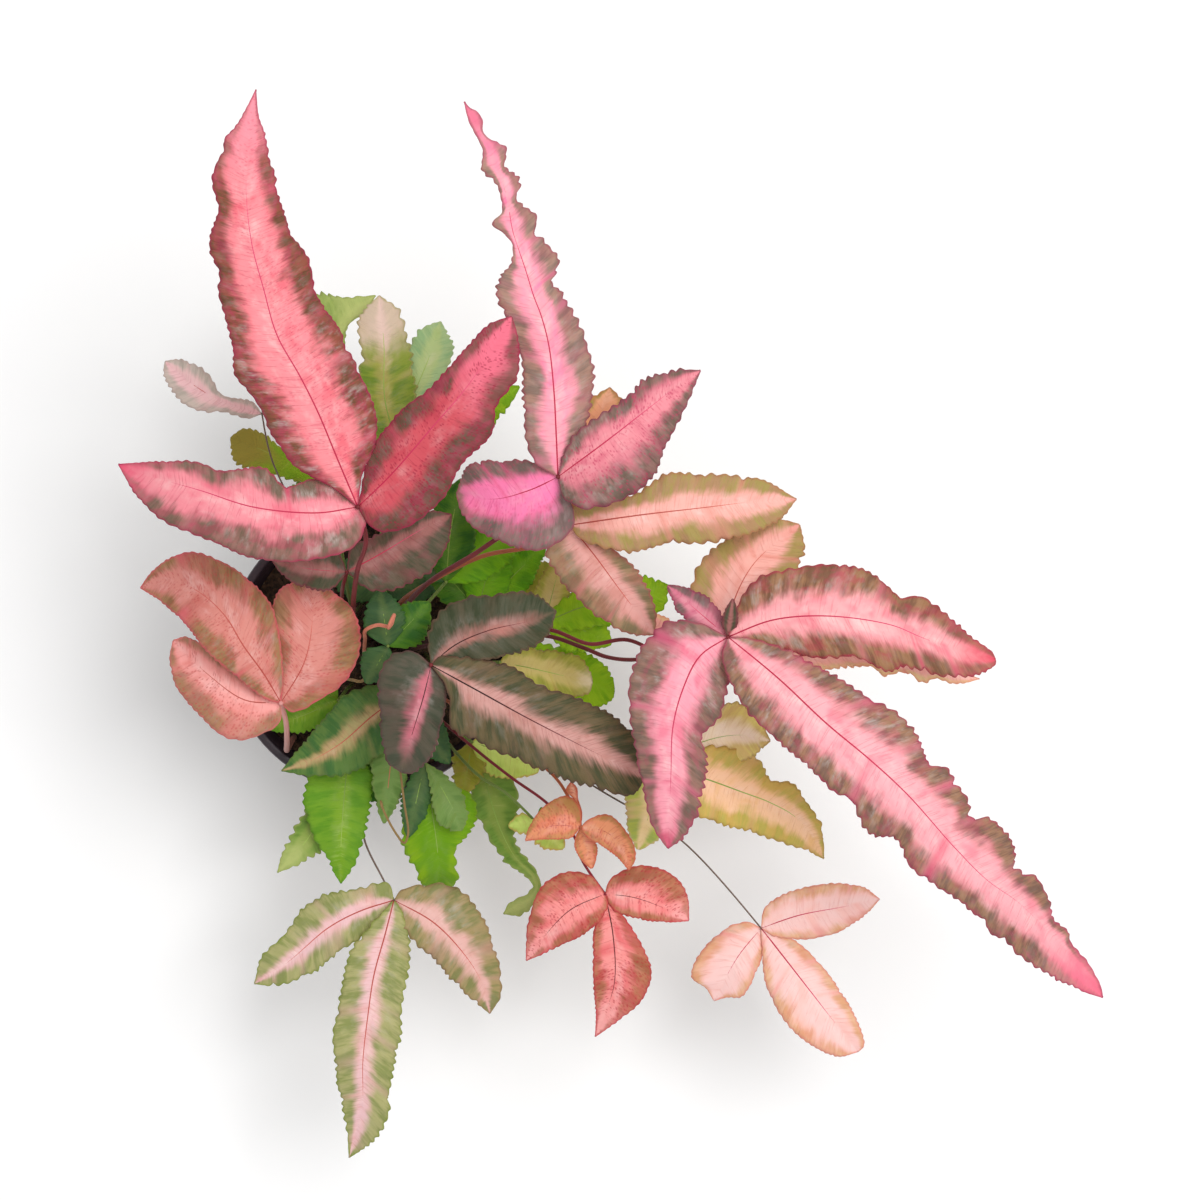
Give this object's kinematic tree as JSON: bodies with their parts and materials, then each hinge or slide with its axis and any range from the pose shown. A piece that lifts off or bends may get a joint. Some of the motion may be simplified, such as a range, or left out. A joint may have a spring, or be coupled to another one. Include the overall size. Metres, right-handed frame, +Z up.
{
  "type": "potted cretan brake fern",
  "caption": "Potted brake fern: fans of long toothed leaflets, pink and coral with brown or olive margins over green ones, on wiry stipes in a small round nursery pot.",
  "frame": {"origin": "middle of the pot's underside", "axes": "+Z up along the pot's axis; +Y and +X as the picture's up and right, seen from straight above"},
  "size_m": [0.3799, 0.4246, 0.2756],
  "materials": {
    "pot_plastic": "satin",
    "soil": "rough",
    "leaf_pink": "satin",
    "leaf_salmon": "satin",
    "leaf_dark": "satin",
    "leaf_green": "satin",
    "crozier": "satin"
  },
  "bodies": {
    "root": {"pot": "pot_plastic", "soil": "soil", "frond_pink_back_left": "leaf_pink", "frond_brown_back_left": "leaf_dark", "frond_pink_back_middle": "leaf_pink", "frond_salmon_back_right": "leaf_salmon", "frond_pink_right": "leaf_pink", "frond_salmon_right": "leaf_salmon", "frond_olive_right": "leaf_salmon", "frond_dark_centre": "leaf_dark", "frond_coral_left": "leaf_salmon", "frond_striped_front_left": "leaf_salmon", "frond_crimson_front": "leaf_pink", "frond_orange_front": "leaf_salmon", "frond_pale_front_right": "leaf_pink", "frond_grey_far_left": "leaf_salmon", "frond_green_back": "leaf_green", "frond_green_far_left": "leaf_green", "frond_green_middle_back": "leaf_green", "frond_green_middle": "leaf_green", "frond_green_centre_back": "leaf_green", "frond_green_crown": "leaf_green", "frond_green_right": "leaf_green", "frond_olive_middle": "leaf_green", "frond_green_left": "leaf_green", "frond_striped_left": "leaf_green", "frond_green_front_left": "leaf_green", "frond_green_front": "leaf_green", "frond_green_front_right": "leaf_green", "frond_green_front_small": "leaf_green", "crozier_pink": "crozier", "crozier_pale": "crozier", "crozier_hooked": "crozier"}
  },
  "joints": []
}
